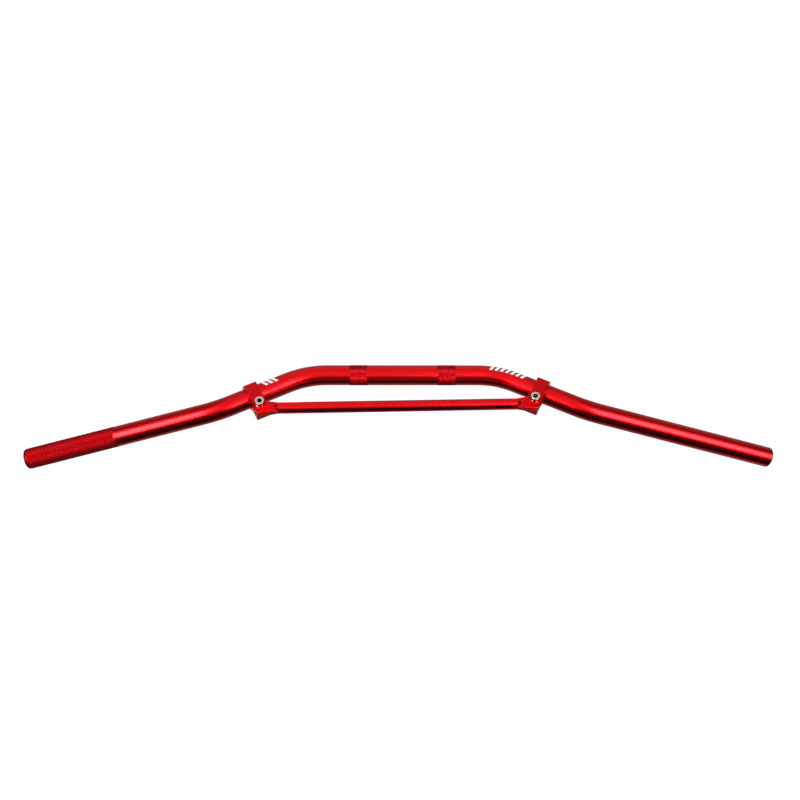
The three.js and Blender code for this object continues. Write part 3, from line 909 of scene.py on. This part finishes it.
def screws():
    """Both screws as one mesh, standing on their seats in the clamps."""
    seats = bpy.data.meshes.new("screw_seats")
    seat = Vector((0, CLAMP_FRONT - POCKET_DEPTH + FIT_GAP, SCREW_OFFSET))
    seats.from_pydata([clamp_place(side) @ seat for side in SIDE_NAME], [], [])
    tree, inputs = screws_tree()
    made = with_tree("clamp_screws", seats, tree, (
        (inputs["Head Radius"], SCREW_HEAD_DIAMETER / 2), (inputs["Head Height"], SCREW_HEAD_HEIGHT),
        (inputs["Shank Radius"], SCREW_DIAMETER / 2), (inputs["Shank Length"], SCREW_LENGTH),
        (inputs["Socket Radius"], HEX_ACROSS_FLATS / math.sqrt(3)), (inputs["Socket Depth"], HEX_DEPTH),
        (inputs["Point Radius"], HEX_ACROSS_FLATS / 2),
        (inputs["Point Depth"], HEX_ACROSS_FLATS / 2 / math.tan(math.radians(DRILL_POINT_ANGLE / 2))),
        (inputs["Thread Pitch"], THREAD_PITCH), (inputs["Thread Depth"], THREAD_DEPTH),
        (inputs["Thread Length"], THREAD_LENGTH), (inputs["Turn Seed"], SCREW_TURN_SEED),
        (inputs["Finish"], plated_steel())))
    return break_edges(made, SCREW_EDGE, EDGE_STEPS, SCREW_EDGE_ANGLE)


fasteners = screws()
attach(fasteners, BODY)
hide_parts("left_clamp_screw", "right_clamp_screw")

# ---- The studio ----
# A white sheet under the bar and a white room make the background. The bar's gloss shows only the softboxes:
# rows of them round the bar, much brighter in front of each grip than over the middle.
FLOOR_SIZE = 30.0
FLOOR_BELOW = 0.45            # the bar hangs in the air over the sheet
FLOOR_COLOUR = "F4F4F4"
FLOOR_ROUGHNESS = (0.85, 1.0)
FLOOR_TOOTH = 400             # specks a metre
ROOM_BRIGHTNESS = 1.15
AREA_LIGHT_SHARE = 4          # watts for each unit of brightness and square metre
LAMP_DISTANCE = 1.35
ROW_ANGLE = 40                # that one row's lamps cover, seen from the bar
MIDDLE_WIDTH = 1.06
SIDE_WIDTH = 1.3
# Row as the camera sees it, its angle up from the camera's direction, and the brightness of its middle, left
# and right lengths.
LAMP_ROWS = (
    ("front", 6, 0.52, 17.0, 12.0),
    ("upper", 46, 0.76, 0.26, 0.26),
    ("over", 86, 0.75, 0.26, 0.26),
    ("far", 126, 0.45, 0.4, 0.4),
    ("behind", -126, 0.28, 0.35, 0.35),
    ("back", 180, 0.5, 0.5, 0.5))


def room():
    world = bpy.data.worlds.new("white_room")
    world.use_nodes = True
    world.node_tree.nodes.clear()
    glow = add_node(world.node_tree, "ShaderNodeBackground", {
        "Color": (1, 1, 1, 1), "Strength": ROOM_BRIGHTNESS})
    add_node(world.node_tree, "ShaderNodeOutputWorld", {"Surface": glow.outputs["Background"]})
    world.cycles_visibility.glossy = False
    scene.world = world


def floor():
    sheet = bmesh.new()
    bmesh.ops.create_grid(sheet, x_segments=1, y_segments=1, size=FLOOR_SIZE / 2)
    ground = mesh_object("floor", sheet)
    ground.location.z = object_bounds()[0].z - FLOOR_BELOW
    material, tree = new_material("white_paper_sweep")
    place = add_node(tree, "ShaderNodeTexCoord")
    tooth = add_node(tree, "ShaderNodeTexNoise", {
        "Vector": place.outputs["Object"], "Scale": FLOOR_TOOTH, "Detail": NOISE_DETAIL})
    roughness = add_node(tree, "ShaderNodeMapRange", {
        "Value": tooth, "To Min": FLOOR_ROUGHNESS[0], "To Max": FLOOR_ROUGHNESS[1]})
    shader = add_node(tree, "ShaderNodeBsdfPrincipled", {
        "Base Color": linear(FLOOR_COLOUR), "Roughness": roughness, "Specular IOR Level": 0.0})
    add_node(tree, "ShaderNodeOutputMaterial", {"Surface": shader})
    ground.data.materials.append(material)
    ground.visible_glossy = False
    ground.visible_shadow = False
    ground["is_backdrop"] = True


def softbox(name, centre, outward, width, height, brightness):
    """A rectangular lamp that only the bar's gloss sees; its width follows the camera's right."""
    light = bpy.data.lights.new(name, "AREA")
    light.shape = "RECTANGLE"
    light.size = width
    light.size_y = height
    light.energy = brightness * AREA_LIGHT_SHARE * width * height
    lamp = bpy.data.objects.new(name, light)
    lamp.matrix_world = Matrix((camera_right, outward.cross(camera_right), outward)).transposed().to_4x4()
    lamp.location = centre
    lamp.visible_camera = False
    lamp.visible_diffuse = False
    scene.collection.objects.link(lamp)


def lamp_rows():
    """Rows of lamps round the bar, each in three lengths."""
    height = 2 * LAMP_DISTANCE * math.tan(math.radians(ROW_ANGLE / 2))
    for name, angle, middle, left, right in LAMP_ROWS:
        outward = (camera_back * math.cos(math.radians(angle)) + camera_up * math.sin(math.radians(angle)))
        side_centre = (MIDDLE_WIDTH + SIDE_WIDTH) / 2
        for part, offset, width, brightness in (
                ("middle", 0.0, MIDDLE_WIDTH, middle), ("left", -side_centre, SIDE_WIDTH, left),
                ("right", side_centre, SIDE_WIDTH, right)):
            centre = CAMERA_AIM + outward * LAMP_DISTANCE + camera_right * offset
            softbox(f"{name}_{part}", centre, outward, width, height, brightness)


room()
floor()
lamp_rows()

scene.view_settings.view_transform = "Standard"

bpy.context.view_layer.update()
